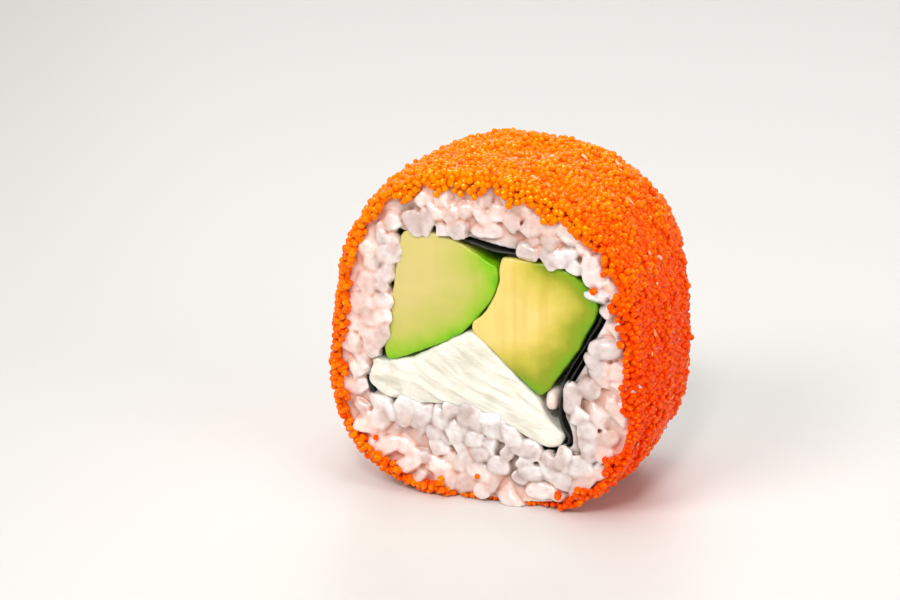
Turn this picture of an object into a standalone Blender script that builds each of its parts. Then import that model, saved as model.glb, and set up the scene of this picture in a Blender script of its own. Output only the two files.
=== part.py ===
"""One cut piece of an inside-out rice roll that stands on its side.

A lapped sheet of nori holds two avocado wedges, a wedge of cream cheese and a
stray grain of rice. A ring of rice surrounds it, and a coat of fish roe covers
the rice. Metres, +Z up. The roll's axis lies along Y, its shown cut faces -Y,
and the origin is the middle of the flat spot that the piece stands on.
"""

import math
import random

import bmesh
import bpy
import numpy as np
from mathutils import Euler, Matrix, Vector, noise

MM = 0.001

# The piece: how long it was cut, and how high its middle lies when it stands.
ROLL_LENGTH = 24.0 * MM
CENTRE_HEIGHT = 22.0 * MM
TOUCHING_GAP = 0.3 * MM

# The rice ring's outline: a circle made taller, crowned at the top and squared.
RICE_RADIUS = 22.0 * MM
TALLNESS = 0.7 * MM
CROWN = 0.63 * MM
SQUARENESS = 1.0 * MM
LEAN = 0.19 * MM

# The roe coat: about two eggs deep, thinner at its rims and where it is pressed
# flat, with bumps about 1.9 mm apart, one for each small clump of eggs.
ROE_THICKNESS = 1.95 * MM
ROE_RIM_THICKNESS = 1.0 * MM
ROE_PRESSED_SHARE = 0.25
ROE_PRESSED_ANGLE = math.radians(32)
ROE_BUMP = 0.28 * MM
ROE_CLUMP = 0.3 * MM
ROE_CLUMP_SIZE = 5.0 * MM
ROE_STEPS_ROUND = 110
ROE_ROWS = 20
ROE_EDGE_RECESS = 0.5 * MM
ROE_EDGE_WANDER = 0.45 * MM
ROE_EDGE_ROUNDING = 0.3 * MM
ROE_WOBBLE = 0.3

# The rice: cooked short grains on both cut faces of a bare ring. How far a
# grain's middle is sunk is counted from the ring's own face.
RICE_FACE_DEPTH = 1.15 * MM
RICE_STEPS_ROUND = 72
CAVITY_REACH = 1.25
GRAIN_LENGTH = 5.6 * MM
GRAIN_WIDTH = 3.2 * MM
GRAIN_SCALES = (0.75, 1.0)
GRAIN_SUNK = (-0.2 * MM, 0.3 * MM)
GRAIN_LEAN = math.radians(20)
GRAIN_SPACING = 2.4 * MM
GRAIN_DRAWS = 9000
GRAIN_CLEARANCE = 0.1 * MM
GRAIN_SIDES = 5
GRAIN_RINGS = 4

NORI_THICKNESS = 0.35 * MM
NORI_RECESS = 0.5 * MM
NORI_POINTS = 84

# The fillings: how far their cuts lie behind the rice, and how these bulge.
FILLING_POINTS = 36
AVOCADO_RECESS = 0.45 * MM
AVOCADO_DOME = 0.3 * MM
CHEESE_RECESS = 0.15 * MM
CHEESE_DOME = 0.5 * MM
CHEESE_RIDGE = 0.22 * MM
CHEESE_RIDGE_PITCH = 3.2 * MM
ROUNDED_EDGE = 0.35 * MM

# Outlines on the cut face, in mm from the roll's middle: x to the right, z up.
LEFT_AVOCADO = [
    (-11.2, 14.4), (-12.3, 9.0), (-13.5, 2.0), (-14.0, -3.0), (-11.0, -2.4),
    (-6.5, -0.2), (-2.9, 2.0), (0.0, 5.3), (1.6, 8.0), (1.9, 10.9),
    (0.0, 12.2), (-3.0, 13.8), (-7.0, 14.9),
]
RIGHT_AVOCADO = [
    (2.9, 12.5), (2.4, 10.5), (2.1, 8.2), (0.5, 5.1), (-1.6, 2.6),
    (1.6, -0.3), (5.3, -3.6), (8.1, -5.5), (10.2, -3.1), (12.5, 0.2),
    (14.5, 4.0), (15.6, 6.8), (14.9, 9.0), (12.3, 11.3), (8.3, 12.4),
]
CREAM_CHEESE = [
    (-2.1, 1.7), (-6.4, -0.7), (-10.8, -2.9), (-14.0, -3.6), (-15.8, -3.4),
    (-16.3, -5.2), (-15.5, -7.6), (-13.4, -8.8), (-9.0, -8.9), (-4.0, -8.6),
    (0.0, -9.1), (4.6, -11.0), (8.7, -12.8), (10.2, -12.6), (11.3, -11.3),
    (10.0, -9.8), (8.4, -8.0), (7.6, -6.4), (4.7, -3.7), (0.9, -0.2),
]
STRAY_GRAIN_MIDDLE = (9.55, -6.3)
STRAY_GRAIN_SIZE = (1.5 * MM, 5.0 * MM, 3.2 * MM)
STRAY_GRAIN_LEAN = math.radians(-8)

# The nori starts inside its own lap, on the right, and runs once round.
NORI_PATH = [
    (11.3, -3.3), (13.2, 0.3), (15.1, 3.6), (16.4, 6.7), (15.6, 9.4),
    (12.8, 12.1), (8.3, 13.1), (3.2, 13.5), (-2.4, 14.5), (-7.0, 15.6),
    (-11.7, 15.2), (-13.0, 9.4), (-14.2, 2.6), (-15.0, -2.2), (-16.6, -2.7),
    (-17.1, -5.4), (-16.2, -8.4), (-13.4, -9.6), (-8.8, -9.6), (-4.0, -9.3),
    (-0.2, -9.8), (4.3, -11.7), (8.4, -13.6), (10.7, -13.4), (12.1, -11.5),
    (11.0, -9.3), (10.9, -7.1), (11.3, -5.1), (12.3, -2.9), (13.9, 0.1),
    (15.3, 2.6),
]

COLOURS = {
    "roe_coat": (0.90, 0.16, 0.01, 1.0),
    "rice": (0.86, 0.72, 0.66, 1.0),
    "nori": (0.010, 0.013, 0.010, 1.0),
    "avocado_left": (0.62, 0.62, 0.16, 1.0),
    "avocado_right": (0.70, 0.60, 0.18, 1.0),
    "cream_cheese": (0.88, 0.87, 0.76, 1.0),
    "stray_grain": (0.80, 0.70, 0.66, 1.0),
}
ROUGHNESS = {
    "roe_coat": 0.18,
    "rice": 0.35,
    "nori": 0.55,
    "avocado_left": 0.38,
    "avocado_right": 0.38,
    "cream_cheese": 0.45,
    "stray_grain": 0.35,
}


def clear_scene():
    for obj in list(bpy.data.objects):
        bpy.data.objects.remove(obj, do_unlink=True)


def make_material(name):
    material = bpy.data.materials.new(name)
    material.use_nodes = True
    shader = material.node_tree.nodes["Principled BSDF"]
    shader.inputs["Base Color"].default_value = COLOURS[name]
    shader.inputs["Roughness"].default_value = ROUGHNESS[name]
    shader.inputs["Metallic"].default_value = 0.0
    return material


def move_to(obj, collection):
    for owner in list(obj.users_collection):
        owner.objects.unlink(obj)
    collection.objects.link(obj)


def finish(obj, name, collection):
    """Names the object, gives it its material and moves it to the roll's collection."""
    obj.name = name
    obj.data.name = name
    obj.data.materials.clear()
    obj.data.materials.append(make_material(name))
    move_to(obj, collection)


def on_roll(x, z, towards_front):
    """A point from its place on the cut face and its distance in front of the middle."""
    return Vector((x, -towards_front, z + CENTRE_HEIGHT))


def rice_outline(angle):
    """Radius of the rice ring's outer side at an angle round the roll, from +X towards +Z."""
    return (
        RICE_RADIUS
        - TALLNESS * math.cos(2 * angle)
        - CROWN * math.sin(3 * angle)
        - SQUARENESS * math.cos(4 * angle)
        + LEAN * math.sin(4 * angle)
    )


def smooth_line(points, count, closed):
    """A Catmull-Rom curve through the points in mm, cut at count equal steps, in metres."""
    corners = np.array(points) * MM
    if closed:
        padded = np.vstack([corners[-1:], corners, corners[:2]])
    else:
        padded = np.vstack([2 * corners[0] - corners[1], corners, 2 * corners[-1] - corners[-2]])
    steps = np.linspace(0, 1, 12, endpoint=False)[:, None]
    dense = []
    for before, start, end, after in zip(padded, padded[1:], padded[2:], padded[3:]):
        dense.append(
            start
            + 0.5 * steps * (end - before)
            + steps**2 * (before - 2.5 * start + 2 * end - 0.5 * after)
            + steps**3 * (1.5 * (start - end) + 0.5 * (after - before))
        )
    dense = np.vstack(dense + [padded[-2:-1]])
    run = np.concatenate([[0], np.cumsum(np.linalg.norm(np.diff(dense, axis=0), axis=1))])
    cuts = np.linspace(0, run[-1], count, endpoint=not closed)
    return np.column_stack([np.interp(cuts, run, dense[:, axis]) for axis in (0, 1)])


def cavity_outline(line, clearance):
    """Radius that clears a line by the given distance, at each step round the roll.

    Each step clears what lies a little over one step away on both sides, so the
    flat stretch between two steps clears the line too.
    """
    angles = np.arctan2(line[:, 1], line[:, 0])
    radii = np.linalg.norm(line, axis=1) + clearance
    centres = np.arange(RICE_STEPS_ROUND) * math.tau / RICE_STEPS_ROUND
    away = np.abs((angles[None] - centres[:, None] + math.pi) % math.tau - math.pi)
    reach = CAVITY_REACH * math.tau / RICE_STEPS_ROUND
    return np.where(away < reach, radii[None], 0).max(axis=1)


def reshaped_torus(name, steps_round, section_steps, place):
    """A torus primitive whose every vertex is moved to place(step round, step of the section).

    The torus's axis becomes the roll's, and its section is passed anticlockwise:
    out along the outer side to the front, across the front and back inside.
    Returns the object and the two steps of each of its vertices.
    """
    bpy.ops.mesh.primitive_torus_add(
        major_segments=steps_round, minor_segments=section_steps, major_radius=2, minor_radius=1
    )
    obj = bpy.context.object
    obj.name = name
    steps = []
    for vertex in obj.data.vertices:
        round_step = round(math.atan2(vertex.co.y, vertex.co.x) * steps_round / math.tau)
        outwards = math.hypot(vertex.co.x, vertex.co.y) - 2
        section_step = round(math.atan2(vertex.co.z, outwards) * section_steps / math.tau)
        steps.append((round_step % steps_round, section_step % section_steps))
        vertex.co = place(*steps[-1])
    return obj, steps


def reshaped_sphere(name, outline, spreads, face_depth):
    """A UV sphere primitive made a block that runs through the roll with the given outline.

    Longitude runs round the outline. Latitude runs from the middle of the front
    face to its edge, straight along the side and in over the back face. spreads
    says how far out each ring of a face lies, and face_depth how far the face
    lies in front of the roll's middle at a place on it.
    """
    face_rows = len(spreads)
    rings = 2 * face_rows + 1
    bpy.ops.mesh.primitive_uv_sphere_add(segments=len(outline), ring_count=rings, radius=1)
    obj = bpy.context.object
    middle = outline.mean(axis=0)
    for vertex in obj.data.vertices:
        ring = round((math.pi / 2 - math.asin(max(-1, min(1, vertex.co.z)))) * rings / math.pi)
        side = 1 if ring <= face_rows else -1
        from_middle = min(ring, rings - ring)
        spread = spreads[from_middle - 1] if from_middle else 0
        step = round(math.atan2(vertex.co.y, vertex.co.x) * len(outline) / math.tau)
        x, z = middle + spread * (outline[step % len(outline)] - middle)
        vertex.co = on_roll(x, z, side * face_depth(x, z, spread, side))
    obj.name = name
    return obj


def make_avocado(name, outline):
    """A wedge of avocado with a faintly domed cut at each end."""

    def face_depth(x, z, spread, side):
        edge = ROUNDED_EDGE if spread == 1 else 0
        return ROLL_LENGTH / 2 - AVOCADO_RECESS - AVOCADO_DOME * spread**4 - edge

    return reshaped_sphere(name, outline, (0.45, 0.8, 0.97, 1), face_depth)


def make_cheese(outline):
    """A wedge of cream cheese whose cuts show the strokes of the knife as low ridges."""

    def face_depth(x, z, spread, side):
        stroke = math.sin((z + 0.25 * x + side * MM) * math.tau / CHEESE_RIDGE_PITCH)
        ridge = CHEESE_RIDGE * stroke * (1 - spread**3)
        edge = ROUNDED_EDGE if spread == 1 else 0
        return ROLL_LENGTH / 2 - CHEESE_RECESS - CHEESE_DOME * spread**4 + ridge - edge

    return reshaped_sphere("cream_cheese", outline, (0.25, 0.5, 0.75, 0.95, 1), face_depth)


def make_stray_grain():
    """The grain of rice caught inside the nori, below the right avocado's tip."""
    bpy.ops.mesh.primitive_uv_sphere_add(segments=10, ring_count=8, radius=0.5)
    grain = bpy.context.object
    x, z = (place * MM for place in STRAY_GRAIN_MIDDLE)
    middle = on_roll(x, z, ROLL_LENGTH / 2 - AVOCADO_RECESS - STRAY_GRAIN_SIZE[1] / 2)
    turned = Matrix.Rotation(STRAY_GRAIN_LEAN, 4, "Y")
    grain.data.transform(Matrix.Translation(middle) @ turned @ Matrix.Diagonal((*STRAY_GRAIN_SIZE, 1)))
    return grain


def make_nori(line):
    """The seaweed sheet: a ribbon along its path, given its thickness on both sides."""
    curve = bpy.data.curves.new("nori", "CURVE")
    curve.dimensions = "2D"
    curve.fill_mode = "NONE"
    curve.extrude = ROLL_LENGTH / 2 - NORI_RECESS
    spline = curve.splines.new("POLY")
    spline.points.add(len(line) - 1)
    for point, (x, z) in zip(spline.points, line):
        point.co = (x, z, 0, 1)
    obj = bpy.data.objects.new("nori", curve)
    bpy.context.scene.collection.objects.link(obj)
    obj.rotation_euler = (math.pi / 2, 0, 0)
    obj.location = (0, 0, CENTRE_HEIGHT)
    wall = obj.modifiers.new("Thickness", "SOLIDIFY")
    wall.thickness = NORI_THICKNESS
    wall.offset = 0
    wall.use_even_offset = True
    return obj


def make_rice_core(cavity):
    """The bare ring of pressed rice between the nori and the roe."""
    depth = ROLL_LENGTH / 2 - RICE_FACE_DEPTH
    section = [(1, -depth), (1, 0), (1, depth), (0.5, depth), (0, depth), (0, 0), (0, -depth), (0.5, -depth)]

    def place(round_step, section_step):
        angle = round_step * math.tau / RICE_STEPS_ROUND
        share, towards_front = section[section_step]
        outer = rice_outline(angle) - TOUCHING_GAP / 2
        radius = cavity[round_step] + share * (outer - cavity[round_step])
        return on_roll(radius * math.cos(angle), radius * math.sin(angle), towards_front)

    core, _ = reshaped_torus("rice", RICE_STEPS_ROUND, len(section), place)
    return core


def grain_fits(points, cavity):
    """Whether every point of a grain lies between the cavity and the ring's outer side."""
    for point in points:
        x, z = point.x, point.z - CENTRE_HEIGHT
        angle, radius = math.atan2(z, x), math.hypot(x, z)
        step = angle / math.tau * RICE_STEPS_ROUND
        inner = max(cavity[math.floor(step) % RICE_STEPS_ROUND], cavity[math.ceil(step) % RICE_STEPS_ROUND])
        outer = rice_outline(angle) - TOUCHING_GAP / 2
        if not inner + GRAIN_CLEARANCE < radius < outer - GRAIN_CLEARANCE:
            return False
    return True


def scatter_grains(cavity, collection):
    """Grains drawn over both cut faces, each kept where it fits and clears the others' middles."""
    draw = random.Random(8)
    bpy.ops.mesh.primitive_uv_sphere_add(segments=GRAIN_SIDES, ring_count=GRAIN_RINGS, radius=0.5)
    pattern = bpy.context.object
    pattern.data.transform(Matrix.Rotation(math.pi / 2, 4, "Y"))
    corners = [vertex.co.copy() for vertex in pattern.data.vertices]
    for side in (1, -1):
        middles = []
        for _ in range(GRAIN_DRAWS):
            angle = draw.uniform(0, math.tau)
            inner = cavity[round(angle / math.tau * RICE_STEPS_ROUND) % RICE_STEPS_ROUND]
            radius = draw.uniform(inner, rice_outline(angle))
            depth = ROLL_LENGTH / 2 - RICE_FACE_DEPTH - draw.uniform(*GRAIN_SUNK)
            middle = on_roll(radius * math.cos(angle), radius * math.sin(angle), side * depth)
            turned = Euler((0, draw.uniform(0, math.pi), draw.uniform(-GRAIN_LEAN, GRAIN_LEAN)))
            size = draw.uniform(*GRAIN_SCALES)
            scale = Matrix.Diagonal((GRAIN_LENGTH * size, GRAIN_WIDTH * size, GRAIN_WIDTH * size, 1))
            shape = Matrix.Translation(middle) @ turned.to_matrix().to_4x4() @ scale
            if any((middle - other).length < GRAIN_SPACING for other in middles):
                continue
            if grain_fits([shape @ corner for corner in corners], cavity):
                middles.append(middle)
                grain = bpy.data.objects.new("grain", pattern.data.copy())
                grain.data.transform(shape)
                collection.objects.link(grain)
    bpy.data.objects.remove(pattern, do_unlink=True)


def fuse(obj, collection):
    """Joins every object of a collection to obj by one Boolean union, and removes them."""
    union = obj.modifiers.new("Fuse", "BOOLEAN")
    union.operation = "UNION"
    union.operand_type = "COLLECTION"
    union.collection = collection
    union.solver = "MANIFOLD"
    graph = bpy.context.evaluated_depsgraph_get()
    fused = bpy.data.meshes.new_from_object(obj.evaluated_get(graph))
    obj.modifiers.clear()
    obj.data = fused
    for piece in list(collection.objects):
        bpy.data.objects.remove(piece, do_unlink=True)
    bpy.data.collections.remove(collection)


def make_rice(cavity):
    """The rice ring with the grains that show on its two cuts fused on."""
    core = make_rice_core(cavity)
    grains = bpy.data.collections.new("grains")
    bpy.context.scene.collection.children.link(grains)
    scatter_grains(cavity, grains)
    fuse(core, grains)
    return core


def raise_bumps(obj, low):
    """Splits every square between its two low corners, so that each high one is a round bump."""
    mesh = bmesh.new()
    mesh.from_mesh(obj.data)
    mesh.verts.ensure_lookup_table()
    bmesh.ops.connect_verts(mesh, verts=[mesh.verts[index] for index in low])
    mesh.to_mesh(obj.data)
    mesh.free()


def make_roe_coat():
    """The coat of roe: a sleeve with a bump at every second vertex, flat where it stands."""
    draw = random.Random(21)
    wobbles = [[draw.uniform(-1, 1) for _ in range(ROE_ROWS)] for _ in range(ROE_STEPS_ROUND)]
    half = ROLL_LENGTH / 2

    def edge(angle, side):
        """How far from the middle the coat ends, which wanders as the roe crumbles there."""
        spot = Vector((math.cos(angle) * RICE_RADIUS, side * half, math.sin(angle) * RICE_RADIUS))
        return half - ROE_EDGE_RECESS + ROE_EDGE_WANDER * noise.noise(spot / ROE_CLUMP_SIZE)

    def thickness(angle, along):
        """The coat is thickest mid-length and thinner at its rims, and is squeezed below."""
        full = ROE_THICKNESS - (ROE_THICKNESS - ROE_RIM_THICKNESS) * along**4
        off_bottom = (angle + math.pi / 2 + math.pi) % math.tau - math.pi
        pressed = math.exp(-((off_bottom / ROE_PRESSED_ANGLE) ** 2))
        spot = Vector((math.cos(angle) * RICE_RADIUS, along * half, math.sin(angle) * RICE_RADIUS))
        clump = ROE_CLUMP * noise.noise(spot / ROE_CLUMP_SIZE)
        return full * (1 - ROE_PRESSED_SHARE * pressed) + clump

    def place(round_step, section_step):
        angle = round_step * math.tau / ROE_STEPS_ROUND
        inner = rice_outline(angle) + TOUCHING_GAP / 2
        if section_step < ROE_ROWS:
            along = -1 + 2 * section_step / (ROE_ROWS - 1)
            wobble = wobbles[round_step][section_step]
            bump = ROE_BUMP if (round_step + section_step) % 2 else -ROE_BUMP
            bump *= (1 + ROE_WOBBLE * wobble) * (1 - 0.6 * along**8)
            radius = inner + thickness(angle, along) + bump
            towards_front = along * (edge(angle, math.copysign(1, along)) - ROE_EDGE_ROUNDING)
            angle += ROE_WOBBLE * wobble * math.tau / ROE_STEPS_ROUND
        else:
            side, share, sunk = rim[section_step - ROE_ROWS]
            radius = inner + share * ROE_RIM_THICKNESS
            towards_front = side * (edge(angle, side) - sunk)
        point = on_roll(radius * math.cos(angle), radius * math.sin(angle), towards_front)
        point.z = max(point.z, 0)
        return point

    sunk_inside = ROE_EDGE_ROUNDING
    rim = [(1, 0.5, 0), (1, 0, sunk_inside), (-1, 0, sunk_inside), (-1, 0.5, 0)]
    coat, steps = reshaped_torus("roe_coat", ROE_STEPS_ROUND, ROE_ROWS + len(rim), place)
    low = [index for index, (turn, row) in enumerate(steps) if row < ROE_ROWS and (turn + row) % 2 == 0]
    raise_bumps(coat, low)
    return coat


def main():
    clear_scene()
    roll = bpy.data.collections.new("uramaki_roll")
    bpy.context.scene.collection.children.link(roll)

    nori_line = smooth_line(NORI_PATH, NORI_POINTS, closed=False)
    cavity = cavity_outline(nori_line, NORI_THICKNESS / 2 + TOUCHING_GAP)
    left = smooth_line(LEFT_AVOCADO, FILLING_POINTS, closed=True)
    right = smooth_line(RIGHT_AVOCADO, FILLING_POINTS, closed=True)
    cheese = smooth_line(CREAM_CHEESE, FILLING_POINTS, closed=True)

    finish(make_roe_coat(), "roe_coat", roll)
    finish(make_rice(cavity), "rice", roll)
    finish(make_nori(nori_line), "nori", roll)
    finish(make_avocado("avocado_left", left), "avocado_left", roll)
    finish(make_avocado("avocado_right", right), "avocado_right", roll)
    finish(make_cheese(cheese), "cream_cheese", roll)
    finish(make_stray_grain(), "stray_grain", roll)


main()
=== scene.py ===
import math
import bpy
import numpy as np
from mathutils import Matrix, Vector


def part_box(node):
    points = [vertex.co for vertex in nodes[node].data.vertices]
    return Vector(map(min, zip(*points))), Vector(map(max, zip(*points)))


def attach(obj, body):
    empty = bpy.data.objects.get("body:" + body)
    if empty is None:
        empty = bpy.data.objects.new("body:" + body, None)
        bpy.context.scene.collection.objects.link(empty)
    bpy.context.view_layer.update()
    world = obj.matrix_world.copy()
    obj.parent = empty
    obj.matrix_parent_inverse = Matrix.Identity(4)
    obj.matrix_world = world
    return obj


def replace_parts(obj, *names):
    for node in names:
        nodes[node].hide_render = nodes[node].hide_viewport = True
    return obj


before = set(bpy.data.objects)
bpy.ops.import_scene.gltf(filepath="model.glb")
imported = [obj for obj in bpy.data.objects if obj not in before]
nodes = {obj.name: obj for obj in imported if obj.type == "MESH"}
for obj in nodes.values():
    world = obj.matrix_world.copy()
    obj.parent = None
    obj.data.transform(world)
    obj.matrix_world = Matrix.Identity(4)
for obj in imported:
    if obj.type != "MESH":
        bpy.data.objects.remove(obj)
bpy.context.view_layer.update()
mm = 0.001
centreHeight = 22.0 * mm  # how high the roll's middle lies above the floor
halfLength = 12.0 * mm  # from the roll's middle to a cut
print("frame loaded:", ", ".join(sorted(nodes)))


# Small tools

def linear(hexText):
    # an sRGB hex colour as linear red, green, blue and alpha
    values = [int(hexText[place:place + 2], 16) / 255 for place in (0, 2, 4)]
    return tuple(v / 12.92 if v <= 0.04045 else ((v + 0.055) / 1.055) ** 2.4 for v in values) + (1.0,)


def wire(tree, node, links):
    # links into a node's sockets, each from a socket or from the first output of another node
    for key, source in links.items():
        tree.links.new(source.outputs[0] if isinstance(source, bpy.types.Node) else source, node.inputs[key])


def addNode(tree, kind, settings=None, links=None):
    # one shader node; a setting names a socket of it, or else a property, and stops are a ramp's places and colours
    node = tree.nodes.new("ShaderNode" + kind)
    for key, value in (settings or {}).items():
        if key == "stops":
            elements = node.color_ramp.elements
            while len(elements) < len(value):
                elements.new(0.5)
            for element, (position, hexText) in zip(elements, value):
                element.position = position
                element.color = linear(hexText)
        elif key in node.inputs:
            node.inputs[key].default_value = value
        else:
            setattr(node, key, value)
    wire(tree, node, links or {})
    return node


def newMaterial(name, settings):
    # an empty tree with a Principled shader on its output
    material = bpy.data.materials.new(name)
    material.use_nodes = True
    tree = material.node_tree
    tree.nodes.clear()
    shader = addNode(tree, "BsdfPrincipled", settings)
    addNode(tree, "OutputMaterial", links={"Surface": shader})
    return material, tree, shader


def lumps(points, size, seed):
    # smooth noise from -1 to 1: random values on a lattice of the given size, blended between its corners
    cell = np.asarray(points) / size + 97.3
    low = np.floor(cell).astype(np.int64)
    part = cell - low
    part = part * part * (3 - 2 * part)
    total = np.zeros(len(cell))
    for corner in np.ndindex(2, 2, 2):
        at = low + np.array(corner)
        mixed = (at[:, 0] * 73856093) ^ (at[:, 1] * 19349663) ^ (at[:, 2] * 83492791) ^ (seed * 2654435761)
        mixed = (mixed ^ (mixed >> 13)) * 1274126177 & 0x7FFFFFFF
        value = (mixed >> 7) % 65536 / 32767.5 - 1
        share = np.prod(np.where(np.array(corner) == 1, part, 1 - part), axis=1)
        total += value * share
    return total


def bell(angle, middle, width):
    # 1 at one direction round the roll, falling away on both sides; both in degrees
    off = (np.degrees(angle) - middle + 180) % 360 - 180
    return np.exp(-((off / width) ** 2))


def curveThrough(points, count, closed):
    # a smooth curve through flat points, closed or from the first to the last, cut at equal steps of its length. Each
    # stretch is a cubic whose slope at a point is half the step between the points beside it.
    if closed:
        sides = [np.roll(points, shift, axis=0) for shift in (1, 0, -1, -2)]
    else:
        ends = np.vstack([2 * points[0] - points[1], points, 2 * points[-1] - points[-2]])
        sides = [ends[k:len(ends) - 3 + k] for k in range(4)]
    a, b, c, d = (side[:, None, :] for side in sides)
    t = np.linspace(0, 1, 16, endpoint=False)[None, :, None]
    dense = b + 0.5 * t * (c - a) + t**2 * (a - 2.5 * b + 2 * c - 0.5 * d) + t**3 * (1.5 * (b - c) + 0.5 * (d - a))
    dense = np.vstack([dense.reshape(-1, 2), points[:1] if closed else points[-1:]])
    run = np.concatenate([[0], np.cumsum(np.linalg.norm(np.diff(dense, axis=0), axis=1))])
    cuts = np.linspace(0, run[-1], count, endpoint=not closed)
    return np.column_stack([np.interp(cuts, run, dense[:, axis]) for axis in (0, 1)])


def gridFaces(rows, columns, closeRows=False):
    # squares over a grid of points whose columns run round and close
    row, column = np.meshgrid(np.arange(rows if closeRows else rows - 1), np.arange(columns), indexing="ij")
    after, beside = (row + 1) % rows, (column + 1) % columns
    corners = (row * columns + column, row * columns + beside, after * columns + beside, after * columns + column)
    return np.stack(corners, axis=-1).reshape(-1, 4)


def shadeSmooth(mesh):
    # every face blends into the next
    mesh.polygons.foreach_set("use_smooth", np.ones(len(mesh.polygons), bool))


def keepNumbers(mesh, values):
    # numbers kept at the mesh's points, under their names
    for key, numbers in values.items():
        layer = mesh.attributes.new(key, "FLOAT", "POINT")
        layer.data.foreach_set("value", np.asarray(numbers, np.float32))


def readVectors(elements, key):
    # a vector from each of a mesh's elements, as an array
    values = np.empty(len(elements) * 3, np.float32)
    elements.foreach_get(key, values)
    return values.reshape(-1, 3).astype(float)


def makePiece(name, points, faces, material, values=None):
    # a smooth mesh from arrays, riding on the roll's one body; values are numbers kept at its points
    mesh = bpy.data.meshes.new(name)
    mesh.from_pydata(points.tolist(), [], faces.tolist() if isinstance(faces, np.ndarray) else faces)
    shadeSmooth(mesh)
    keepNumbers(mesh, values or {})
    mesh.materials.append(material)
    mesh.update()
    piece = bpy.data.objects.new(name, mesh)
    bpy.context.scene.collection.objects.link(piece)
    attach(piece, "root")
    return piece


def edgeOfCut(name):
    # the outline of a filling, read from the corners where its front cut meets its side, in order round it
    points = readVectors(nodes[name].data.vertices, "co")
    front = points[points[:, 1] < 0]
    near = np.abs(front[:, 1]).min()
    flat = np.unique(np.round(front[np.abs(front[:, 1]) < near + 0.02 * mm][:, [0, 2]], 6), axis=0)
    away = flat - flat.mean(axis=0)
    return flat[np.argsort(np.arctan2(away[:, 1], away[:, 0]))]


# The roll's section. The nori's path on the cut, in mm from the roll's middle, starts inside its lap, on the right.

noriPath = [
    (11.3, -3.3), (13.2, 0.3), (15.1, 3.6), (16.4, 6.7), (15.6, 9.4), (12.8, 12.1), (8.3, 13.1), (3.2, 13.5),
    (-2.4, 14.5), (-7.0, 15.6), (-11.7, 15.2), (-13.0, 9.4), (-14.2, 2.6), (-15.0, -2.2), (-16.6, -2.7), (-17.1, -5.4),
    (-16.2, -8.4), (-13.4, -9.6), (-8.8, -9.6), (-4.0, -9.3), (-0.2, -9.8), (4.3, -11.7), (8.4, -13.6), (10.7, -13.4),
    (12.1, -11.5), (11.0, -9.3), (10.9, -7.1), (11.3, -5.1), (12.3, -2.9), (13.9, 0.1), (15.3, 2.6),
]
noriLine = curveThrough(np.array(noriPath) * mm, 340, False)
reachSteps = 90  # how many angles the nori's reach is taken at
lineAngles = np.round(np.arctan2(noriLine[:, 1], noriLine[:, 0]) / math.tau * reachSteps).astype(int) % reachSteps
lineReach = np.hypot(noriLine[:, 0], noriLine[:, 1])
cavityReach = np.array([lineReach[lineAngles == step].max() for step in range(reachSteps)]) + 0.5 * mm


def ringRadius(angle, outer):
    # the rice ring: a slightly squared oval outside, and inside the farthest that the nori reaches at each angle
    if not outer:
        return np.interp(angle, np.arange(reachSteps) * math.tau / reachSteps, cavityReach, period=math.tau)
    return (22 - 0.7 * np.cos(2 * angle) - 0.63 * np.sin(3 * angle) - np.cos(4 * angle) + 0.19 * np.sin(4 * angle)) * mm


def onRoll(angle, radius, y):
    # points from their angle round the roll, distance from its axis and place along it
    return np.stack([radius * np.cos(angle), y, radius * np.sin(angle) + centreHeight], axis=-1)


def onBarrel(angle, y):
    # points on a plain cylinder as wide as the rice, where the coat's noise is read
    return onRoll(angle, np.full_like(angle, 22 * mm), y)


def cutDepth(values, spread):
    # how far a filling's cut lies from the roll's middle: recessed, domed, and rounded over the last of its spread
    edge = np.clip((spread - values["roundFrom"]) / values["roundOver"], 0, 1)
    rounded = values["rounding"] * (1 - np.sqrt(1 - edge**2))
    return halfLength - values["recess"] - values["dome"] * spread**4 - rounded


def pushedOut(points, outline, push, clear):
    # points moved out across the roll, away from the outline's middle, apart from those nearer to it than clear
    away = points - np.array([outline[:, 0].mean(), 0, outline[:, 1].mean()])
    reach = np.hypot(away[:, 0], away[:, 2])
    points[:, [0, 2]] += (away / np.maximum(reach, 1e-6)[:, None])[:, [0, 2]] * (push * (reach > clear))[:, None]
    return points


def blockThrough(outline, faceRows, sideRows, depthAt, edgeAt):
    # a block through the roll: rows of its outline drawn in towards its middle on both cuts, and straight sides
    # between them. depthAt(x, z, spread, side) is how far a cut lies from the roll's middle, and edgeAt(points) moves
    # the outline.
    count = len(outline)
    middle = outline.mean(axis=0)
    spreads = np.sin(np.linspace(0, math.pi / 2, faceRows + 1))[1:]
    rows = []
    for side in (-1, 1):
        flat = middle + spreads[:, None, None] * (outline - middle)
        x, z = flat[..., 0].ravel(), flat[..., 1].ravel()
        depth = depthAt(x, z, np.repeat(spreads, count), side)
        cut = np.column_stack([x, side * depth, z]).reshape(faceRows, count, 3)
        rows.append(cut if side < 0 else cut[::-1])
    share = np.linspace(0, 1, sideRows + 2)[1:-1, None, None]
    sides = rows[0][-1] + share * (rows[1][0] - rows[0][-1])
    grid = np.concatenate([rows[0], sides, rows[1]])
    poles = [[middle[0], side * depthAt(middle[:1], middle[1:], np.zeros(1), side)[0], middle[1]] for side in (-1, 1)]
    points = np.concatenate([grid.reshape(-1, 3), poles])
    faces = gridFaces(len(grid), count).tolist()
    last = len(points) - 1
    first = (len(grid) - 1) * count
    faces += [[step, last - 1, (step + 1) % count] for step in range(count)]
    faces += [[first + step, first + (step + 1) % count, last] for step in range(count)]
    return edgeAt(points), faces


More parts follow.
